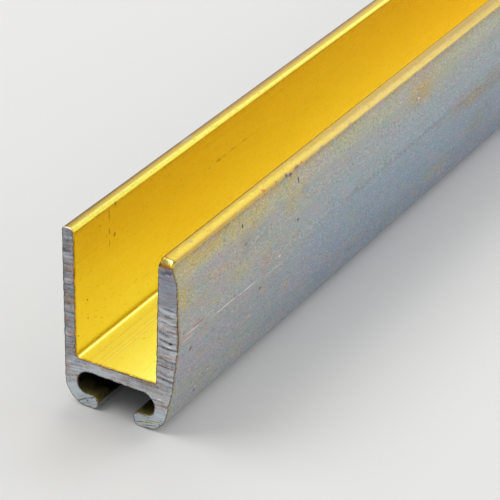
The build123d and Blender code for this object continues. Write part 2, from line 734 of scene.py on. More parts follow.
    def mesh(self, name: str, points: np.ndarray, faces: np.ndarray, kinds: np.ndarray,
             readings: np.ndarray) -> bpy.types.Mesh:
        """Joins the patches into one closed mesh with faces outwards.

        Args:
            name: the mesh's name.
            points: every point, in metres.
            faces: four point numbers for each face.
            kinds: 0 for skin and 1 for a sawn end, for each face.
            readings: a row for each point, with a column for each reading.

        Returns:
            The mesh.
        """
        made = bpy.data.meshes.new(name)
        made.from_pydata(points.tolist(), [], faces.tolist())
        made.polygons.foreach_set("material_index", kinds)
        for column, reading in enumerate(self.SKIN_READINGS + self.END_READINGS):
            layer = made.attributes.new(reading, "FLOAT", "POINT")
            layer.data.foreach_set("value", readings[:, column].astype(np.float32))
        shape = bmesh.new()
        shape.from_mesh(made)
        bmesh.ops.remove_doubles(shape, verts=shape.verts, dist=self.merge_gap)
        bmesh.ops.recalc_face_normals(shape, faces=shape.faces)
        open_edges = sum(not edge.is_manifold for edge in shape.edges)
        shape.to_mesh(made)
        shape.free()
        made.polygons.foreach_set("use_smooth", np.ones(len(made.polygons), bool))
        made.set_sharp_from_angle(angle=math.radians(self.sharp_angle))
        log.info("%s: %d faces, %d open edges", name, len(made.polygons), open_edges)
        return made


class Wire:
    """An output socket that takes part in sums as a number does, by adding Math nodes."""

    def __init__(self, bench: "Bench", socket: bpy.types.NodeSocket) -> None:
        """Keeps the bench and the socket."""
        self.bench = bench
        self.socket = socket

    def __add__(self, other: "Wire | float") -> "Wire":
        """Sum."""
        return self.bench.math("ADD", self, other)

    __radd__ = __add__

    def __sub__(self, other: "Wire | float") -> "Wire":
        """Difference."""
        return self.bench.math("SUBTRACT", self, other)

    def __rsub__(self, other: float) -> "Wire":
        """Difference from a number."""
        return self.bench.math("SUBTRACT", other, self)

    def __mul__(self, other: "Wire | float") -> "Wire":
        """Product."""
        return self.bench.math("MULTIPLY", self, other)

    __rmul__ = __mul__

    def swing(self, width: float) -> "Wire":
        """How far a noise lies from its middle value, 0.5, times width."""
        return (self - 0.5) * width

    def ramp(self, low: float, high: float) -> "Wire":
        """Smooth step from 0 at low to 1 at high, either way round."""
        return self.bench.node("ShaderNodeMapRange", {"interpolation_type": "SMOOTHSTEP"},
                               {"Value": self, "From Min": low, "From Max": high})


class Bench:
    """A material's node tree, and the one way in which nodes are added to it."""

    def __init__(self, name: str) -> None:
        """Makes an empty material of that name."""
        self.material = bpy.data.materials.new(name)
        self.material.use_nodes = True
        self.tree = self.material.node_tree
        self.tree.nodes.clear()

    @staticmethod
    def _socket(sockets: bpy.types.bpy_prop_collection, name: str | int) -> bpy.types.NodeSocket:
        """Finds a socket.

        Args:
            sockets: a node's inputs or outputs.
            name: its number, identifier or name.

        Returns:
            The socket.
        """
        if isinstance(name, int):
            return sockets[name]
        return next((s for s in sockets if s.identifier == name), None) or sockets[name]

    def node(self, kind: str, settings: dict | None = None, inputs: dict | None = None,
             output: str | int = 0) -> Wire:
        """Adds a node.

        Args:
            kind: the node's type.
            settings: its own settings, set first.
            inputs: a value or a wire for each of its sockets, by number, identifier or name.
            output: which output is wanted.

        Returns:
            The wanted output.
        """
        made = self.tree.nodes.new(kind)
        for name, value in (settings or {}).items():
            setattr(made, name, value)
        for name, value in (inputs or {}).items():
            socket = self._socket(made.inputs, name)
            if isinstance(value, Wire):
                self.tree.links.new(value.socket, socket)
            elif socket.type == "RGBA":
                socket.default_value = (*value, 1)
            else:
                socket.default_value = value
        return Wire(self, self._socket(made.outputs, output))

    def math(self, operation: str, first: "Wire | float", second: "Wire | float") -> Wire:
        """A Math node on two values."""
        return self.node("ShaderNodeMath", {"operation": operation}, {0: first, 1: second})

    def vector(self, operation: str, first: "Wire | tuple", second: "Wire | tuple") -> Wire:
        """A Vector Math node on two vectors."""
        return self.node("ShaderNodeVectorMath", {"operation": operation}, {0: first, 1: second}, "Vector")

    def millimetres(self) -> Wire:
        """The place on the object, in millimetres."""
        metres = self.node("ShaderNodeTexCoord", output="Object")
        scaling = {0: metres, "Scale": 1 / MM}
        return self.node("ShaderNodeVectorMath", {"operation": "SCALE"}, scaling, "Vector")

    def axes(self, place: Wire) -> tuple[Wire, Wire, Wire]:
        """The place's coordinates along, across and up."""
        x, y, z = (self.node("ShaderNodeSeparateXYZ", {}, {0: place}, axis) for axis in "XYZ")
        return x, y, z

    def point(self, x: Wire | float, y: Wire | float, z: Wire | float = 0.0) -> Wire:
        """A place made of three values."""
        return self.node("ShaderNodeCombineXYZ", {}, {"X": x, "Y": y, "Z": z})

    def reading(self, name: str) -> Wire:
        """A number kept on the mesh's points under that name."""
        return self.node("ShaderNodeAttribute", {"attribute_name": name}, output="Fac")

    def mixed(self, share: Wire | float, base: "Wire | Colour", over: "Wire | Colour") -> Wire:
        """A colour that goes from base to over as share goes from 0 to 1."""
        return self.node("ShaderNodeMix", {"data_type": "RGBA"},
                         {"Factor_Float": share, "A_Color": base, "B_Color": over}, "Result_Color")

    def graded(self, place: Wire, bands: Bands) -> Wire:
        """A colour that changes with a value.

        Args:
            place: the value.
            bands: values in order, each with the colour reached there.

        Returns:
            The colour, mixed between the two nearest bands.
        """
        low, high = bands[0][0], bands[-1][0]
        scale = self.node("ShaderNodeValToRGB", {}, {"Fac": (place - low) * (1 / (high - low))}, "Color")
        stops = scale.socket.node.color_ramp.elements
        for number, (value, colour) in enumerate(bands):
            share = (value - low) / (high - low)
            stop = stops[number] if number < 2 else stops.new(share)
            stop.position, stop.color = share, (*colour, 1)
        return scale

    def finish(self, colour: Wire, metallic: Wire | float, roughness: Wire | float, relief: Wire,
               depth: float) -> bpy.types.Material:
        """Feeds a Principled shader and its bump.

        Args:
            colour: base colour.
            metallic: how metallic it is.
            roughness: how matt it is.
            relief: height from 0 to 1 for the bump.
            depth: how high the relief's 1 stands, in metres.

        Returns:
            The finished material.
        """
        bump = self.node("ShaderNodeBump", {}, {"Strength": 1.0, "Distance": depth, "Height": relief})
        shader = self.node("ShaderNodeBsdfPrincipled", {}, {
            "Base Color": colour, "Metallic": metallic, "Roughness": roughness, "Normal": bump})
        return self.surfaced(shader)

    def surfaced(self, shader: Wire) -> bpy.types.Material:
        """Ends the tree with that shader as the material's surface, and returns the material."""
        last = self.tree.nodes.new("ShaderNodeOutputMaterial")
        self.tree.links.new(shader.socket, last.inputs["Surface"])
        return self.material


def blend(shares: Shares, *values: Wire) -> Wire:
    """Sum of the values in their order, each times its share."""
    first, *others = (value * share for share, value in zip(shares, values))
    return sum(others, first)


@dataclass(frozen=True)
class Cloud:
    """Cloudy noise from 0 to 1.

    It is told by how many features it has to a millimetre each way, how many finer layers, how
    strong those are, and how far its pattern is moved from the piece's near end.
    """

    stretch: Triple
    detail: float = 3.0
    roughness: float = 0.55
    moved: Triple = (0.0, 0.0, 0.0)

    def at(self, bench: Bench, place: Wire) -> Wire:
        """The noise's value at a place in millimetres."""
        scaled = bench.vector("MULTIPLY", bench.vector("ADD", place, self.moved), self.stretch)
        return bench.node("ShaderNodeTexNoise", {"noise_dimensions": "3D"}, {
            "Vector": scaled, "Scale": 1.0, "Detail": self.detail, "Roughness": self.roughness}, "Fac")


@dataclass(frozen=True)
class Veil:
    """A colour laid thinly by a value: not at all at none, and with its strength from full on."""

    none: float
    full: float
    colour: Colour
    strength: float

    def over(self, bench: Bench, value: Wire, base: Wire, less: Wire | float = 0.0) -> Wire:
        """Lays the veil over a colour.

        Args:
            bench: the material's bench.
            value: what the veil follows.
            base: the colour under it.
            less: how far its strength falls short.

        Returns:
            The colour with the veil on it.
        """
        return bench.mixed(value.ramp(self.none, self.full) * (self.strength - less), base, self.colour)


@dataclass(frozen=True)
class Blot:
    """A mark on the skin: its middle and reach in millimetres, its colour and how strong it is.

    Noise moves its border by ragged, and it is full within core, both as shares of its reach.
    """

    along: float
    across: float
    up: float
    reach_along: float
    reach_up: float
    colour: Colour
    strength: float = 0.8
    reach_across: float = 1.2
    ragged: float = 0.9
    core: float = 0.35

    def over(self, bench: Bench, place: Wire, wobble: Wire, base: Wire) -> Wire:
        """Lays the mark over a colour.

        The mark is full in its middle and gone beyond its reach, an ellipsoid with a border
        that the noise makes uneven.

        Args:
            bench: the material's bench.
            place: the place in millimetres from the near end and the groove's middle.
            wobble: noise for the border.
            base: the colour under the mark.

        Returns:
            The colour with the mark on it.
        """
        away = bench.vector("SUBTRACT", place, (self.along, self.across, self.up))
        reach = (1 / self.reach_along, 1 / self.reach_across, 1 / self.reach_up)
        scaled = bench.vector("MULTIPLY", away, reach)
        far = bench.node("ShaderNodeVectorMath", {"operation": "LENGTH"}, {0: scaled}, "Value")
        mask = (far + wobble.swing(2 * self.ragged)).ramp(1.0, self.core)
        return bench.mixed(mask * self.strength, base, self.colour)


def marked(bench: Bench, place: Wire, wobble: Wire, base: Wire, blots: tuple[Blot, ...]) -> Wire:
    """Lays a table of marks over a colour, one after another.

    Args:
        bench: the material's bench.
        place: the place in millimetres from the near end and the groove's middle.
        wobble: noise for the marks' borders.
        base: the colour under them.
        blots: the marks.

    Returns:
        The colour with the marks on it.
    """
    for blot in blots:
        base = blot.over(bench, place, wobble, base)
    return base


# where the thin wall's inner face and the thick wall's outer one lie, across
INNER_FACE = 5.0
OUTER_FACE = -7.4


def end_mark(across: float, up: float, reach_across: float, reach_up: float, colour: Colour,
             strength: float, ragged: float = 0.9) -> Blot:
    """A mark on a sawn end, at a place across and up, whatever the place along."""
    return Blot(0, across, up, 1, reach_up, colour, strength, reach_across, ragged)


def inner(along: float, up: float, reach_along: float, reach_up: float, colour: Colour,
          strength: float, ragged: float = 0.9) -> Blot:
    """A mark on the inner face of the thin wall."""
    return Blot(along, INNER_FACE, up, reach_along, reach_up, colour, strength, ragged=ragged)


def outer(along: float, up: float, reach_along: float, reach_up: float, colour: Colour,
          strength: float, ragged: float = 0.9, core: float = 0.35, reach_across: float = 1.2) -> Blot:
    """A mark on the outer face of the thick wall."""
    return Blot(along, OUTER_FACE, up, reach_along, reach_up, colour, strength, reach_across, ragged, core)


def floor_line(across: float, reach: float, colour: Colour, strength: float, ragged: float) -> Blot:
    """A die line along the groove's floor, at a place across, drawn in its colour: WHITE makes a line of
    painted highlight, SHADE one of painted shade.
    """
    return Blot(along=60.0, across=across, up=5.8, reach_along=300.0, reach_up=1.0, colour=colour,
                strength=strength, reach_across=reach, ragged=ragged)


DARK = (0.04, 0.028, 0.018)
SHADE = (0.62, 0.40, 0.04)
PALE = (0.95, 0.93, 0.88)
RUST = (0.45, 0.20, 0.13)
OCHRE = (0.56, 0.43, 0.20)
OLIVE = (0.60, 0.51, 0.17)
BROWN = (0.36, 0.29, 0.21)
DUSK = (0.15, 0.12, 0.11)
ROSE = (0.58, 0.42, 0.37)
LILAC = (0.45, 0.42, 0.53)
COPPER = (0.62, 0.26, 0.06)
EMBER = (0.22, 0.09, 0.05)
LEMON = (0.98, 0.95, 0.55)
WHITE = (1.0, 0.95, 0.85)
NIGHT = (0.10, 0.11, 0.17)
SCRATCH = (0.30, 0.16, 0.02)
ORANGE = (0.85, 0.42, 0.04)
SIENNA = (0.34, 0.15, 0.06)
STRAW = (0.80, 0.78, 0.42)
ICE = (0.80, 0.86, 0.95)
TEAL = (0.33, 0.47, 0.45)
MAUVE = (0.49, 0.42, 0.51)
UMBER = (0.41, 0.36, 0.30)
RIM_BROWN = (0.38, 0.225, 0.12)
CLEAR_GOLD = (0.80, 0.64, 0.12)
# black for pits, and for painted shade on the sawn ends
PIT_AND_SHADE_BLACK = (0.06, 0.045, 0.045)

# a broken scratch on the thin wall's inner face
SCRATCH_DOTS = (
    (26.2, 16.1, 0.5, 0.12, SCRATCH, 0.35),
    (28.0, 16.2, 0.7, 0.14, SCRATCH, 0.5),
    (29.6, 16.15, 0.5, 0.12, SCRATCH, 0.4),
    (31.2, 16.3, 0.7, 0.14, SCRATCH, 0.5),
    (33.6, 16.35, 0.6, 0.12, SCRATCH, 0.35),
)

# die lines on the groove's floor, drawn as lines of painted highlight (WHITE) with lines of painted shade
# (SHADE) beside them: place across, reach, colour, strength, raggedness
FLOOR_LINES = (
    (3.2, 0.08, WHITE, 0.6, 0.5),
    (3.36, 0.08, SHADE, 0.25, 0.5),
    (2.5, 0.09, SHADE, 0.22, 0.6),
    (2.3, 0.07, WHITE, 0.55, 0.6),
    (1.95, 0.07, SHADE, 0.28, 0.5),
    (1.8, 0.07, WHITE, 0.65, 0.5),
    (1.55, 0.07, SHADE, 0.28, 0.5),
    (1.3, 0.06, WHITE, 0.55, 0.6),
)

# marks in the groove and on the tops above it
GROOVE_BLOTS = (
    inner(6.5, 19.6, 0.12, 0.9, DARK, 0.6),
    inner(6.5, 17.6, 0.12, 0.7, DARK, 0.5),
    inner(6.5, 16.2, 0.12, 0.5, DARK, 0.6),
    inner(7.5, 16.8, 0.22, 0.28, DARK, 0.6),
    inner(7.7, 20.3, 0.2, 0.35, DARK, 0.5),
    inner(2.3, 11.5, 0.18, 0.16, DARK, 0.7),
    inner(2.4, 9.2, 0.15, 0.15, DARK, 0.7),
    inner(0.6, 8.0, 0.15, 0.2, DARK, 0.7),
    *(inner(*dot, ragged=1.2) for dot in SCRATCH_DOTS),
    inner(34.0, 16.3, 11.0, 0.2, SHADE, 0.2, 1.4),
    inner(5.0, 16.7, 9.0, 0.16, SHADE, 0.12, 1.4),
    # painted shade along the thin wall's foot, toning down the fillet's highlight
    Blot(60.0, 4.8, 5.95, 300.0, 0.4, SHADE, 0.2, 0.3, 0.3),
    *(floor_line(*line) for line in FLOOR_LINES),
    Blot(23.0, 6.0, 20.8, 1.4, 0.5, BROWN, 0.8, 0.4),
    Blot(4.8, -5.9, 20.8, 0.4, 0.4, BROWN, 0.8, 0.25),
)

# marks on the tops and their edges, with painted highlights in WHITE
RIM_BLOTS = (
    Blot(0.0, -5.9, 19.8, 0.6, 0.8, COPPER, 0.95, 1.2, 0.4, 0.5),
    Blot(0.1, -5.05, 20.1, 0.5, 0.5, DARK, 0.85, 0.35, 0.6),
    # painted highlight on the worn corner of the thick wall's top
    Blot(0.5, -6.15, 20.6, 0.25, 0.4, WHITE, 0.35, 0.7, 0.5),
    # painted highlight along the thin wall's top at the sawn end
    Blot(0.0, 5.9, 20.8, 0.3, 0.4, WHITE, 0.9, 0.9, 0.6),
    Blot(18.0, -6.6, 20.6, 0.4, 0.3, SIENNA, 0.9, 0.4),
    Blot(20.4, -6.7, 20.5, 0.3, 0.25, SIENNA, 0.8, 0.4),
    Blot(22.5, -6.85, 20.4, 0.45, 0.3, NIGHT, 0.9, 0.5, 1.5),
    Blot(23.3, -6.9, 20.2, 0.45, 0.22, NIGHT, 0.85, 0.5, 1.5),
    Blot(24.6, -6.8, 20.45, 0.8, 0.22, DUSK, 0.75, 0.4, 1.4),
    Blot(25.8, -6.8, 20.5, 0.4, 0.2, SIENNA, 0.8, 0.4),
    Blot(30.0, -6.8, 20.5, 0.7, 0.22, BROWN, 0.9, 0.4, 1.2),
    Blot(36.5, -6.8, 20.5, 0.6, 0.18, BROWN, 0.7, 0.4, 1.2),
)

# stains outside, and a line of painted shade along the face's crease
STAINS = (
    outer(5.8, 17.6, 5.4, 1.3, LILAC, 0.55, 0.6, 0.0),
    outer(6.0, 8.6, 10.0, 3.6, LILAC, 0.35, 0.6, 0.0, 2.0),
    outer(27.0, 7.0, 9.0, 2.0, LILAC, 0.4, 0.8, -0.2, 2.0),
    outer(15.0, 18.6, 4.0, 1.6, OLIVE, 0.6, 0.6, 0.0),
    outer(23.4, 17.7, 4.0, 3.4, OLIVE, 0.65, 0.6, -0.1),
    outer(0.8, 16.7, 4.2, 2.4, OLIVE, 0.75, 0.6, 0.0),
    outer(12.2, 14.0, 3.4, 1.7, OLIVE, 0.4, 0.8, -0.2),
    outer(4.0, 5.0, 8.0, 1.8, OLIVE, 0.25, 0.8, -0.2, 2.0),
    outer(12.4, 3.6, 2.0, 1.0, OLIVE, 0.4, 0.8, -0.2, 2.0),
    outer(7.5, 16.0, 2.4, 0.9, ROSE, 0.8, 0.6, -0.1),
    outer(17.5, 12.6, 3.0, 0.9, ROSE, 0.6, 0.7, -0.2),
    outer(13.5, 16.9, 2.6, 2.0, DUSK, 0.25, 0.8, -0.3),
    outer(25.4, 17.6, 1.6, 1.2, DUSK, 0.3, 0.8, -0.3),
    outer(52.5, 18.8, 5.0, 3.8, OCHRE, 1.0, 0.5, -0.1),
    outer(69.0, 11.7, 13.0, 2.4, BROWN, 0.85, 0.7, -0.2),
    outer(66.2, 11.5, 2.2, 1.1, OCHRE, 0.6, 0.6, -0.2),
    # painted shade along the crease in the outer face
    outer(48.0, 12.1, 30.0, 0.6, DUSK, 0.4, 0.5, -0.3),
    outer(69.0, 7.3, 6.0, 2.8, BROWN, 0.75, 0.7, -0.2),
    outer(60.0, 4.4, 5.0, 2.2, OLIVE, 0.6, 0.6, -0.3, 2.0),
    outer(39.5, 4.8, 2.6, 1.8, OLIVE, 0.5, 0.6, -0.2),
)

# pits, scratches and specks outside
NICKS = (
    outer(12.9, 19.0, 0.16, 0.35, DARK, 0.9, 0.4),
    outer(12.6, 19.6, 0.18, 0.45, DARK, 0.6, 0.8),
    outer(24.5, 19.1, 0.14, 0.5, DARK, 0.9, 0.5),
    outer(24.3, 19.8, 0.2, 0.3, DARK, 0.5),
    outer(13.2, 16.7, 0.35, 0.22, DARK, 0.3),
    outer(11.6, 14.2, 0.2, 0.16, DARK, 0.4),
    outer(24.0, 14.6, 0.28, 0.18, DARK, 1.0, 0.3),
    outer(16.4, 9.85, 0.24, 0.2, DARK, 0.95, 0.3),
    outer(2.65, 9.7, 0.4, 0.28, DUSK, 0.85),
    outer(0.9, 12.4, 0.3, 0.16, DUSK, 0.8),
    outer(3.6, 12.25, 1.6, 0.2, RUST, 0.55, 0.6),
    outer(1.6, 11.95, 1.6, 0.2, ROSE, 0.9, 0.6),
    outer(2.6, 12.05, 1.9, 0.08, PALE, 0.7, 0.6),
    outer(1.4, 11.6, 1.4, 0.16, ROSE, 0.9, 0.6),
    outer(1.8, 11.45, 1.6, 0.08, PALE, 0.7, 0.6),
    outer(8.6, 11.55, 3.8, 0.08, PALE, 0.9, 0.4),
    outer(13.6, 11.38, 2.8, 0.08, PALE, 0.95, 0.4),
    outer(19.5, 10.9, 4.0, 0.07, PALE, 0.5, 0.5),
    outer(20.1, 12.05, 0.3, 0.14, PALE, 1.0, 0.3),
    outer(7.2, 4.5, 0.2, 0.15, PALE, 1.0, 0.3, 0.35, 2.0),
    outer(7.7, 4.3, 0.2, 0.12, PALE, 0.9, 0.3, 0.35, 2.0),
    outer(5.1, 3.5, 0.25, 0.2, PALE, 1.0, 0.4, 0.35, 2.0),
    outer(5.1, 2.9, 0.4, 0.25, DARK, 0.8, 0.4, 0.35, 2.0),
    outer(16.1, 3.7, 0.2, 0.15, PALE, 0.8, 0.3, 0.35, 2.0),
    outer(51.8, 17.4, 1.0, 0.3, RUST, 0.8, 0.6),
    outer(52.0, 17.35, 0.5, 0.14, PALE, 0.9, 0.4),
)

# marks on a sawn end, by their height, one of them a painted glint
END_BLOTS = (
    end_mark(-6.2, 19.5, 0.7, 0.4, NIGHT, 0.8),
    end_mark(-5.5, 19.2, 0.5, 0.3, NIGHT, 0.6),
    end_mark(-6.1, 17.9, 1.2, 1.6, NIGHT, 0.2, 0.3),
    end_mark(-6.2, 19.1, 0.2, 0.12, ROSE, 0.9),
    end_mark(-6.6, 11.3, 0.35, 0.2, DARK, 0.9),
    # painted glint below the dark knot
    end_mark(-6.4, 10.85, 0.5, 0.13, WHITE, 0.95, 1.2),
    end_mark(-5.2, 10.5, 0.25, 0.1, ROSE, 0.9),
    end_mark(-6.1, 8.3, 1.4, 0.13, RUST, 0.8, 1.0),
    end_mark(-6.6, 12.7, 0.9, 0.13, RUST, 0.7, 1.0),
    end_mark(5.8, 16.85, 0.8, 0.14, RUST, 0.6, 1.2),
    end_mark(5.8, 12.5, 1.0, 0.8, BROWN, 0.6),
    end_mark(-5.4, 4.9, 1.6, 1.4, BROWN, 0.25),
    end_mark(6.1, 4.0, 0.6, 0.9, RUST, 0.35),
    end_mark(-5.4, 4.2, 0.4, 0.12, WHITE, 0.9, 1.2),
    end_mark(-6.15, 3.87, 0.25, 0.1, WHITE, 0.8, 1.2),
    end_mark(-1.5, 4.42, 3.0, 0.12, WHITE, 0.9, 0.6),
    end_mark(0.0, 5.75, 5.4, 0.14, EMBER, 0.9, 0.7),
    end_mark(-3.4, 5.55, 1.8, 0.3, BROWN, 0.6, 1.0),
    end_mark(-4.97, 13.3, 0.18, 7.7, EMBER, 0.9, 0.6),
    end_mark(-7.5, 13.8, 0.28, 6.0, EMBER, 0.75, 0.9),
    end_mark(6.45, 13.3, 0.16, 7.7, DARK, 0.6, 0.8),
    end_mark(4.95, 13.3, 0.12, 7.7, ORANGE, 0.6, 0.4),
    end_mark(3.5, 0.8, 0.2, 0.15, DARK, 0.8),
)

# marks that follow the saw's strokes on a sawn end, by the stroke's height
STROKE_BLOTS = (
    end_mark(-3.9, -0.62, 1.8, 0.12, STRAW, 0.95, 0.7),
    end_mark(-4.2, -0.36, 1.5, 0.11, STRAW, 0.9, 0.7),
    end_mark(-3.6, -0.49, 1.6, 0.09, DARK, 0.7, 0.7),
    end_mark(-4.2, -0.9, 1.2, 0.09, DARK, 0.6, 0.8),
    end_mark(-4.6, -0.15, 1.2, 0.09, DARK, 0.6, 0.8),
    end_mark(-4.7, 0.1, 1.2, 0.10, ICE, 0.7, 0.8),
    end_mark(-5.4, 1.35, 0.9, 0.13, ICE, 0.8, 0.8),
    end_mark(-5.5, 1.0, 0.9, 0.12, ICE, 0.8, 0.8),
    end_mark(-5.4, 0.55, 0.9, 0.12, ICE, 0.7, 0.8),
    end_mark(5.4, 2.6, 0.8, 0.3, STRAW, 0.35, 0.8),
)


class SkinMaps:
    """What the extruded skin's colours follow: the place on it, in millimetres, and noises."""

    def __init__(self, bench: Bench, shift: float, half_length: float) -> None:
        """Reads them.

        Args:
            bench: the material's bench.
            shift: how far the groove's middle lies from the frame's, in millimetres.
            half_length: half the stock's length, in millimetres.
        """
        self.bench = bench
        self.place = bench.vector("ADD", bench.millimetres(), (half_length, -shift, 0.0))
        self.along, self.across, self.height = bench.axes(self.place)
        self.end_gap = bench.reading("end_gap")
        drawn = bench.point(self.along, bench.reading("girth"))
        self.die_lines = Cloud((0.02, 4.5, 1.0), 4, 0.7).at(bench, drawn)
        self.streaks = Cloud((0.09, 2.6, 1.0), 4, 0.65).at(bench, drawn)
        self.clouds = Cloud((0.06, 0.22, 0.22), 4).at(bench, self.place)
        self.mottle = Cloud((1.1, 1.9, 1.9), 4, 0.7).at(bench, self.place)
        self.grain = Cloud((4.0, 6.0, 6.0), 2, 0.7).at(bench, self.place)
        self.wobble = Cloud((0.9, 1.2, 1.2), 3, 0.6).at(bench, self.place)
        self.drift = Cloud((0.22, 0.30, 0.30), 3, 0.6, (70.0, 10.0, 30.0)).at(bench, self.place)
        self.hues = Cloud((0.20, 0.34, 0.34), 4, 0.65, (500.0, 90.0, 15.0)).at(bench, self.place)
        self.motley = Cloud((0.60, 1.1, 1.1), 4, 0.7, (300.0, 40.0, 70.0)).at(bench, self.place)
        self.flecks = Cloud((0.35, 0.8, 0.8), 4, 0.7, (150.0, 20.0, 90.0)).at(bench, self.place)

    def pepper(self, grain_share: float) -> Wire:
        """Mottle and grain together, with that share of grain."""
        return blend((1 - grain_share, grain_share), self.mottle, self.grain)

    def marked(self, base: Wire, blots: tuple[Blot, ...]) -> Wire:
        """Lays a table of marks over a colour, with wobbly borders."""
        return marked(self.bench, self.place, self.wobble, base, blots)


@dataclass(frozen=True)
class WallTops:
    """Tops of the walls, coloured in bands by the distance outwards from the inner arris. The bands hold the
    tops' own colour together with painted highlight and painted shade across their rounding.
    """

    # each top's colour with painted highlight and painted shade across its rounding
    thick_bands: Bands = (
        (0.0, (0.53, 0.37, 0.04)), (0.22, (0.46, 0.30, 0.035)), (0.5, (0.46, 0.33, 0.05)),
        (0.85, (0.61, 0.49, 0.065)), (1.2, (0.60, 0.46, 0.06)), (1.4, (0.50, 0.35, 0.07)),
        (1.6, (0.32, 0.185, 0.06)), (1.8, (0.38, 0.23, 0.08)))
    thin_bands: Bands = (
        (-0.3, (1.0, 0.88, 0.09)), (0.0, (0.60, 0.54, 0.08)), (0.2, (0.64, 0.61, 0.15)),
        (0.42, (0.45, 0.35, 0.05)), (0.6, (0.47, 0.33, 0.05)), (0.8, (0.32, 0.20, 0.04)),
        (1.0, (0.29, 0.18, 0.055)), (1.2, (0.14, 0.095, 0.05)))
    peach: Colour = (0.47, 0.37, 0.24)
    dull: Colour = (0.34, 0.24, 0.06)
    mottle_swing: float = 0.35
    die_swing: float = 0.2
    far: Span = (14.0, 45.0)
    thick_shift: float = 0.3
    thin_shift: float = 0.12
    peach_band: Span = (0.4, 1.2)
    peach_gain: float = 0.3
    peach_least: float = 0.08
    dull_band: Span = (1.3, 0.7)
    dull_arris: Span = (0.5, 0.2)
    dull_spared: float = 0.35
    dull_gain: float = 0.5
    dull_least: float = 0.1
    dull_along: Span = (45.0, 75.0)
    dull_along_gain: float = 0.38
    walls_split: Span = (-1.0, 1.0)
    clearing: Veil = Veil(82.0, 130.0, CLEAR_GOLD, 0.6)
    flecks: Veil = Veil(0.48, 0.34, SIENNA, 0.6)
    flecks_grain: float = 0.5

    def colour(self, maps: SkinMaps) -> Wire:
        """Colour of both tops, duller further along the thick one and clear again far off.

        Args:
            maps: what the colour follows.

        Returns:
            The colour.
        """
        bench, along = maps.bench, maps.along
        far_off = along.ramp(*self.far)
        rim = bench.reading("rim") + maps.mottle.swing(self.mottle_swing)
        rim = rim + maps.die_lines.swing(self.die_swing)
        thick = bench.graded(rim - far_off * self.thick_shift, self.thick_bands)
        thin = bench.graded(rim + far_off * self.thin_shift, self.thin_bands)
        peachy = rim.ramp(*self.peach_band) * self.peach_gain + self.peach_least
        thick = bench.mixed(far_off * peachy, thick, self.peach)
        middle = rim.ramp(*self.dull_band) - rim.ramp(*self.dull_arris) * self.dull_spared
        dulled = far_off * (middle * self.dull_gain + self.dull_least)
        dulled = dulled + along.ramp(*self.dull_along) * self.dull_along_gain
        thick = bench.mixed(dulled, thick, self.dull)
        top = bench.mixed(maps.across.ramp(*self.walls_split), thick, thin)
        top = self.clearing.over(bench, along, top)
        return self.flecks.over(bench, maps.pepper(self.flecks_grain), top)


@dataclass(frozen=True)
class GrooveBrass:
    """Bright brass of the groove, with die lines, fine specks, glints and a few dark marks. The floor,
    facing up to the light, is painted paler and brighter, and die lines on it are drawn as painted highlight
    and painted shade.
    """

    gold: Colour = (1.0, 0.815, 0.145)
    deep_gold: Colour = (0.985, 0.755, 0.095)
    dim_gold: Colour = (0.84, 0.66, 0.08)
    lit_floor_gold: Colour = (0.95, 0.98, 0.32)
    lit_floor_warm_gold: Colour = (0.965, 0.885, 0.21)
    gold_shares: Shares = (0.5, 0.35, 0.35)
    gold_depth: Span = (0.35, 0.85)
    dim_height: Span = (18.5, 13.0)
    dim_along: Span = (8.0, 45.0)
    dim_gain: float = 0.32
    dim_least: float = 0.12
    floor_slope: float = 0.026
    floor_height: Span = (6.1, 5.9)
    floor_lines: Span = (0.15, 0.45)
    floor_warm_along: Span = (12.0, 30.0)
    floor_gold_along: Span = (70.0, 110.0)
    dark_grain: Veil = Veil(0.5, 0.36, SHADE, 0.06)
    light_grain: Veil = Veil(0.5, 0.64, lit_floor_gold, 0.16)
    tops: WallTops = WallTops()
    top_height: Span = (20.2, 20.6)
    specks: Veil = Veil(0.44, 0.30, SHADE, 0.6)
    specks_grain: float = 0.5
    glints: Veil = Veil(0.58, 0.72, LEMON, 0.5)
    glints_grain: float = 0.6

    def colour(self, maps: SkinMaps) -> Wire:
        """Colour of the groove's walls and floor, and of the walls' tops above them.

        Args:
            maps: what the colour follows.

        Returns:
            The colour.
        """
        bench, along, height, grain = maps.bench, maps.along, maps.height, maps.grain
        depth = blend(self.gold_shares, maps.clouds, maps.mottle, maps.die_lines)
        colour = bench.mixed(depth.ramp(*self.gold_depth), self.deep_gold, self.gold)
        dim = height.ramp(*self.dim_height) * (along.ramp(*self.dim_along) * self.dim_gain + self.dim_least)
        colour = bench.mixed(dim, colour, self.dim_gold)
        # painted light: the floor, facing up, is painted paler and brighter than the walls in streaks along
        # the die lines, and plain gold again far along
        floor = bench.mixed(along.ramp(*self.floor_warm_along), self.lit_floor_gold, self.lit_floor_warm_gold)
        floor = bench.mixed(along.ramp(*self.floor_gold_along), floor, self.gold)
        on_floor = (height + maps.across * self.floor_slope).ramp(*self.floor_height)
        colour = bench.mixed(on_floor * maps.die_lines.ramp(*self.floor_lines), colour, floor)
        colour = self.dark_grain.over(bench, grain, colour)
        colour = self.light_grain.over(bench, grain, colour)
        colour = bench.mixed(height.ramp(*self.top_height), colour, self.tops.colour(maps))
        colour = self.specks.over(bench, maps.pepper(self.specks_grain), colour)
        colour = self.glints.over(bench, maps.pepper(self.glints_grain), colour)
        return maps.marked(colour, GROOVE_BLOTS)


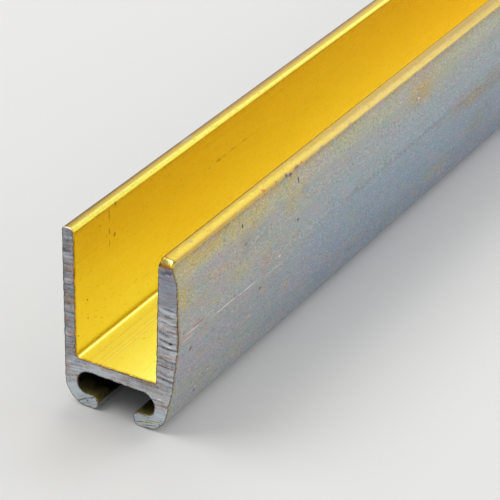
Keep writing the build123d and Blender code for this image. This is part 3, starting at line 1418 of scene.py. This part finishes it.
@dataclass(frozen=True)
class Tarnish:
    """Grey tarnish outside, olive near the top and cooler further along, with patches and marks. Further
    along the grey is darker and bluer low down: painted shade and painted blue reflection.
    """

    near_grey: Bands = (
        (0.0, (0.44, 0.47, 0.48)), (4.0, (0.45, 0.48, 0.49)), (7.0, (0.435, 0.46, 0.485)),
        (11.0, (0.46, 0.47, 0.48)), (15.0, (0.495, 0.48, 0.42)), (17.2, (0.50, 0.475, 0.41)),
        (18.2, (0.53, 0.505, 0.37)), (19.1, (0.60, 0.51, 0.25)), (19.9, (0.62, 0.49, 0.14)),
        (20.6, (0.50, 0.35, 0.12)))
    # darker and bluer low down: painted shade and painted blue reflection over the grey tarnish
    far_grey: Bands = (
        (0.0, (0.31, 0.37, 0.46)), (4.0, (0.31, 0.38, 0.48)), (7.0, (0.32, 0.42, 0.54)),
        (11.0, (0.355, 0.45, 0.55)), (15.0, (0.41, 0.475, 0.515)), (17.0, (0.455, 0.48, 0.475)),
        (18.4, (0.485, 0.495, 0.40)), (19.8, (0.49, 0.48, 0.33)), (20.6, (0.44, 0.395, 0.30)))
    rise_clouds: float = 4.0
    rise_mottle: float = 1.5
    drift_along: float = 30.0
    cooler_along: Span = (8.0, 38.0)
    warmer_along: Span = (85.0, 150.0)
    warmer_share: float = 0.75
    rim_swing: float = 0.9
    under_rim: Veil = Veil(2.5, 1.75, RIM_BROWN, 0.5)
    teal_hues: Veil = Veil(0.53, 0.66, TEAL, 0.35)
    lilac_hues: Veil = Veil(0.47, 0.34, MAUVE, 0.4)
    olive_flecks: Veil = Veil(0.54, 0.68, OLIVE, 0.45)
    olive_less: float = 0.22
    lilac_flecks: Veil = Veil(0.46, 0.32, LILAC, 0.45)
    rose_motley: Veil = Veil(0.53, 0.66, ROSE, 0.5)
    rose_less: float = 0.15
    teal_motley: Veil = Veil(0.47, 0.34, TEAL, 0.55)
    teal_less: float = 0.3
    teal_less_height: Span = (16.0, 19.0)
    brown_mottle: Veil = Veil(0.46, 0.34, UMBER, 0.5)
    brown_streaks: Veil = Veil(0.42, 0.3, UMBER, 0.15)
    # painted sparkle: pale specks that stand for glints
    painted_sparkle: Veil = Veil(0.68, 0.88, PALE, 0.4)
    painted_sparkle_streaks: float = 0.3
    dusk_grain: Veil = Veil(0.46, 0.3, DUSK, 0.5)

    def colour(self, maps: SkinMaps) -> Wire:
        """Colour of the outside: a grey by height and place along, then stains, veils and nicks.

        Args:
            maps: what the colour follows.

        Returns:
            The colour.
        """
        bench, height, mottle, grain = maps.bench, maps.height, maps.mottle, maps.grain
        rise = height + maps.clouds.swing(self.rise_clouds) + mottle.swing(self.rise_mottle)
        drifted = maps.along + maps.drift.swing(self.drift_along)
        cooler = drifted.ramp(*self.cooler_along) - drifted.ramp(*self.warmer_along) * self.warmer_share
        colour = bench.mixed(cooler, bench.graded(rise, self.near_grey), bench.graded(rise, self.far_grey))
        colour = marked(bench, maps.place, maps.drift, colour, STAINS)
        veils = (
            (self.under_rim, bench.reading("rim") + mottle.swing(self.rim_swing), 0.0),
            (self.teal_hues, maps.hues, 0.0),
            (self.lilac_hues, maps.hues, 0.0),
            (self.olive_flecks, maps.flecks, cooler * self.olive_less),
            (self.lilac_flecks, maps.flecks, 0.0),
            (self.rose_motley, maps.motley, cooler * self.rose_less),
            (self.teal_motley, maps.motley, height.ramp(*self.teal_less_height) * self.teal_less),
            (self.brown_mottle, mottle, 0.0),
            (self.brown_streaks, maps.streaks, 0.0),
            # painted sparkle
            (self.painted_sparkle, maps.streaks * self.painted_sparkle_streaks + grain, 0.0),
            (self.dusk_grain, grain, 0.0),
        )
        for veil, reading, less in veils:
            colour = veil.over(bench, reading, colour, less)
        return maps.marked(colour, NICKS)


@dataclass(frozen=True)
class ExtrudedSkin:
    """Finish of the extruded faces: bright brass in the groove and on the tops, grey tarnish outside."""

    shift: float
    half_length: float
    groove: GrooveBrass = GrooveBrass()
    tarnish: Tarnish = Tarnish()
    top_gold: Colour = (0.58, 0.455, 0.07)
    # painted shade inside the slot, near black, and painted light near its ends in olive
    slot_shade_black: Colour = (0.008, 0.010, 0.010)
    slot_lit_olive: Colour = (0.38, 0.33, 0.10)
    outside_swing: float = 0.4
    outside_span: Span = (0.3, 0.7)
    end_orange: Veil = Veil(0.2, 0.05, ORANGE, 0.7)
    slot_swing: float = 0.3
    slot_span: Span = (0.35, 0.65)
    slot_light_height: Span = (2.7, 1.5)
    slot_light_shares: Shares = (-0.14, 0.6, 0.4)
    slot_light_span: Span = (0.0, 0.6)
    slot_light_share: float = 0.8
    bare_gap: Span = (0.42, 0.02)
    bare_grain: float = 0.5
    bare_span: Span = (0.55, 0.85)
    bare_share: float = 0.8
    bare_gold: Span = (0.45, 0.6)
    metallic_less: float = 0.35
    roughness: float = 0.28
    roughness_outside: float = 0.20
    roughness_lines: float = 0.12
    relief_grain: float = 0.4
    relief_grain_outside: float = 0.4
    relief_shares: Shares = (0.7, 1.0, 0.5)
    relief_depth: float = 0.000014

    def material(self) -> bpy.types.Material:
        """Builds the material.

        Returns:
            The material.
        """
        bench = Bench("extruded_brass")
        maps = SkinMaps(bench, self.shift, self.half_length)
        mottle, grain, end_gap = maps.mottle, maps.grain, maps.end_gap
        outside = (bench.reading("outside") + mottle.swing(self.outside_swing)).ramp(*self.outside_span)
        groove = self.end_orange.over(bench, end_gap, self.groove.colour(maps))
        colour = bench.mixed(outside, groove, self.tarnish.colour(maps))
        # painted shade inside the slot, lifting to olive near the ends and low down as painted light where
        # light gets in
        slot = (bench.reading("slot") + mottle.swing(self.slot_swing)).ramp(*self.slot_span)
        slot_light = blend(self.slot_light_shares, end_gap, maps.wobble, mottle).ramp(*self.slot_light_span)
        slot_light = maps.height.ramp(*self.slot_light_height) * slot_light
        inside = bench.mixed(slot_light * self.slot_light_share, self.slot_shade_black, self.slot_lit_olive)
        colour = bench.mixed(slot, colour, inside)
        bare = end_gap.ramp(*self.bare_gap) * (mottle + grain * self.bare_grain).ramp(*self.bare_span)
        metal = bench.mixed(grain.ramp(*self.bare_gold), EMBER, self.top_gold)
        colour = bench.mixed(bare * self.bare_share, colour, metal)
        colour = maps.marked(colour, RIM_BLOTS)
        metallic = 1 - outside * self.metallic_less
        roughness = self.roughness + outside * self.roughness_outside + maps.die_lines * self.roughness_lines
        coarse = grain * (self.relief_grain + outside * self.relief_grain_outside)
        relief = blend(self.relief_shares, maps.die_lines, coarse, mottle)
        return bench.finish(colour, metallic, roughness, relief, self.relief_depth)


@dataclass(frozen=True)
class SawnBrass:
    """Finish of the sawn ends: dull brass with the saw's marks, coppery and grey by turns. The grey's blue
    tint, paler at the foot, is painted reflection; the gouges get painted shade, the edges burrs with
    painted shade, and white specks are painted glints.
    """

    shift: float
    # greys with a blue tint of painted reflection
    grey: Colour = (0.24, 0.25, 0.28)
    light: Colour = (0.66, 0.69, 0.74)
    plain: Colour = (0.295, 0.315, 0.375)
    pale: Colour = (0.57, 0.68, 0.73)
    short_strokes: Cloud = Cloud((0.34, 2.6, 0.02), 5, 0.72)
    long_strokes: Cloud = Cloud((0.14, 4.2, 0.02), 4, 0.7)
    tints: Cloud = Cloud((0.45, 1.3, 0.02), 3, 0.65)
    blotches: Cloud = Cloud((0.02, 1.3, 1.5), 4, 0.7)
    grains: Cloud = Cloud((0.02, 3.6, 3.6), 4, 0.75)
    wobbles: Cloud = Cloud((0.02, 2.4, 2.4), 3, 0.7)
    low_height: Span = (6.4, 5.2)
    foot_height: Span = (3.2, 1.8)
    thick_side: Span = (-3.0, -4.6)
    thin_side: Span = (3.0, 4.6)
    level_shares: Shares = (0.06, 0.12, 0.07, -0.05)
    tone_shares: Shares = (0.9, 0.35, 0.3, 0.3)
    tone_span: Span = (0.76, 1.16)
    tint_shares: Shares = (1.0, 0.5, -0.08)
    coppery: Veil = Veil(0.76, 0.9, (0.50, 0.30, 0.20), 0.6)
    calm_height: Span = (14.9, 15.7)
    calm_across: Span = (-3.5, -5.0)
    calm_share: float = 0.65
    foot_share: float = 0.4
    pits_shares: Shares = (0.8, 0.4, 0.8)
    pits: Veil = Veil(0.92, 0.78, PIT_AND_SHADE_BLACK, 0.9)
    pits_calmed: float = 0.6
    gouge_swing: float = 0.5
    # painted shade in the gouges
    gouges: Veil = Veil(0.25, 0.7, PIT_AND_SHADE_BLACK, 0.55)
    edge_swing: float = 0.45
    # burrs along the end's edges, darkened with painted shade
    edge: Veil = Veil(0.14, 0.03, PIT_AND_SHADE_BLACK, 0.8)
    # painted glints
    painted_glints: Veil = Veil(0.34, 0.42, WHITE, 0.9)
    metallic: float = 0.85
    roughness: float = 0.36
    roughness_grain: float = 0.2
    relief_shares: Shares = (0.6, 0.4)
    relief_depth: float = 0.00008

    def material(self) -> bpy.types.Material:
        """Builds the material.

        Returns:
            The material.
        """
        bench = Bench("sawn_brass")
        place = bench.millimetres()
        along, across, height = bench.axes(place)
        saw_line = bench.reading("saw_line")
        stroke = bench.point(across, saw_line, along)
        short, tint = self.short_strokes.at(bench, stroke), self.tints.at(bench, stroke)
        grain, wobble = self.grains.at(bench, place), self.wobbles.at(bench, place)
        blotches = self.blotches.at(bench, place)
        low, foot = height.ramp(*self.low_height), height.ramp(*self.foot_height)
        streaks = short + (self.long_strokes.at(bench, stroke) - short) * low
        sides = across.ramp(*self.thick_side), across.ramp(*self.thin_side)
        level = blend(self.level_shares, low, foot, *sides)
        tone = blend(self.tone_shares, streaks, blotches, 1 - bench.reading("saw_depth"), grain) + level
        colour = bench.mixed(tone.ramp(*self.tone_span), self.grey, self.light)
        colour = self.coppery.over(bench, blend(self.tint_shares, tint, grain, foot), colour)
        calm = height.ramp(*self.calm_height) * across.ramp(*self.calm_across)
        colour = bench.mixed(calm * self.calm_share, colour, self.plain)
        # painted blue reflection, paler towards the foot
        colour = bench.mixed(foot * self.foot_share, colour, self.pale)
        sideways = across - self.shift
        colour = marked(bench, bench.point(0.0, sideways, height), wobble, colour, END_BLOTS)
        colour = marked(bench, bench.point(0.0, sideways, saw_line), wobble, colour, STROKE_BLOTS)
        pitted = blend(self.pits_shares, streaks, blotches, grain)
        colour = self.pits.over(bench, pitted, colour, calm * self.pits_calmed)
        # painted shade along the gouges
        colour = self.gouges.over(bench, bench.reading("gouge") + grain.swing(self.gouge_swing), colour)
        # burrs darkened along the edges, with painted shade
        colour = self.edge.over(bench, bench.reading("edge") + grain.swing(self.edge_swing), colour)
        # painted glints on white specks
        colour = self.painted_glints.over(bench, grain * streaks, colour)
        roughness = self.roughness + grain * self.roughness_grain
        relief = blend(self.relief_shares, streaks, grain)
        return bench.finish(colour, self.metallic, roughness, relief, self.relief_depth)


@dataclass(frozen=True)
class Viewpoint:
    """The camera's place and direction, as they fit the photograph's perspective."""

    along: float = -321.06
    across: float = -113.25
    up: float = 140.64
    heading: float = 60.11
    dip: float = 30.34
    roll: float = -1.78
    focal_pixels: float = 2389.4
    frame_pixels: float = 500.0
    sensor: float = 36.0

    def place(self) -> None:
        """Makes the camera and gives it to the scene."""
        heading, dip, roll = (math.radians(angle) for angle in (self.heading, self.dip, self.roll))
        ahead = math.sin(heading) * math.cos(dip), math.cos(heading) * math.cos(dip), -math.sin(dip)
        forward = Vector(ahead)
        level = Vector((math.cos(heading), -math.sin(heading), 0))
        down = forward.cross(level)
        right = level * math.cos(roll) + down * math.sin(roll)
        low = down * math.cos(roll) - level * math.sin(roll)
        lens = bpy.data.cameras.new("camera")
        lens.sensor_width = self.sensor
        lens.lens = self.focal_pixels * self.sensor / self.frame_pixels
        camera = bpy.data.objects.new("camera", lens)
        bpy.context.scene.collection.objects.link(camera)
        turned = Matrix((right, -low, -forward)).transposed().to_4x4()
        camera.matrix_world = Matrix.Translation(Vector((self.along, self.across, self.up)) * MM) @ turned
        bpy.context.scene.camera = camera


@dataclass(frozen=True)
class Lamp:
    """A square soft lamp: where it hangs, the point it looks at and its side in metres, and its watts."""

    name: str
    place: Triple
    aim: Triple
    size: float
    power: float
    colour: Colour

    def hang(self) -> None:
        """Makes the lamp."""
        light = bpy.data.lights.new(self.name, "AREA")
        light.shape = "SQUARE"
        light.size, light.energy, light.color = self.size, self.power, self.colour
        made = bpy.data.objects.new(self.name, light)
        made.location = self.place
        made.rotation_euler = (Vector(self.aim) - Vector(self.place)).to_track_quat("-Z", "Y").to_euler()
        bpy.context.scene.collection.objects.link(made)


@dataclass(frozen=True)
class Studio:
    """A pale floor under soft light."""

    floor_half: float = 2.5
    floor_colour: Colour = (0.87, 0.87, 0.86)
    floor_roughness: float = 0.9
    sky: Colour = (0.95, 0.97, 1.0)
    sky_strength: float = 0.36
    lamps: tuple[Lamp, ...] = (
        Lamp("key", (-0.35, 0.55, 0.9), (-0.1, 0, 0), 0.7, 4.6, (1.0, 0.98, 0.95)),
        Lamp("side", (-0.2, -1.1, 0.45), (-0.1, 0, 0), 0.9, 1.6, (0.95, 0.97, 1.0)),
        Lamp("low", (0.95, -0.8, 0.3), (0, 0, 0), 0.8, 2.0, (1.0, 0.98, 0.95)),
        Lamp("far", (1.15, 0.0, 0.78), (0, 0, 0), 1.9, 15.5, (1.0, 0.98, 0.93)))

    def floor(self) -> bpy.types.Object:
        """Makes the floor, level with the underside of the lips.

        Returns:
            The floor.
        """
        half = self.floor_half
        corners = [(-half, -half, 0), (half, -half, 0), (half, half, 0), (-half, half, 0)]
        mesh = bpy.data.meshes.new("floor")
        mesh.from_pydata(corners, [], [(0, 1, 2, 3)])
        bench = Bench("pale_floor")
        looks = {"Base Color": self.floor_colour, "Roughness": self.floor_roughness}
        mesh.materials.append(bench.surfaced(bench.node("ShaderNodeBsdfPrincipled", {}, looks)))
        made = bpy.data.objects.new("floor", mesh)
        bpy.context.scene.collection.objects.link(made)
        return made

    def world(self) -> None:
        """Lights the scene evenly from all round."""
        world = bpy.data.worlds.new("soft_sky")
        bpy.context.scene.world = world
        world.use_nodes = True
        backdrop = world.node_tree.nodes["Background"]
        backdrop.inputs["Color"].default_value = (*self.sky, 1)
        backdrop.inputs["Strength"].default_value = self.sky_strength

    def set_up(self) -> None:
        """Makes the floor, the sky and the lamps, and sets how colours are shown."""
        self.floor()
        self.world()
        for lamp in self.lamps:
            lamp.hang()
        bpy.context.scene.view_settings.view_transform = "Standard"


def main() -> None:
    """Builds the stock, dresses it and sets it before the camera."""
    logging.basicConfig(level=logging.INFO)
    section = Section()
    low, high = CAD_BOX
    outline = Ring(section).points[:, 0]
    shift = -(outline.min() + outline.max()) / 2
    length = (high[0] - low[0]) / MM
    stock = Stock(section, length, shift)
    piece = stock.build()
    piece.data.materials.append(ExtrudedSkin(shift, length / 2).material())
    piece.data.materials.append(SawnBrass(shift).material())
    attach(piece, "root")
    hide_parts("channel")
    log.info("channel_stock stands for the channel")
    Viewpoint().place()
    Studio().set_up()


if __name__ == "__main__":
    main()
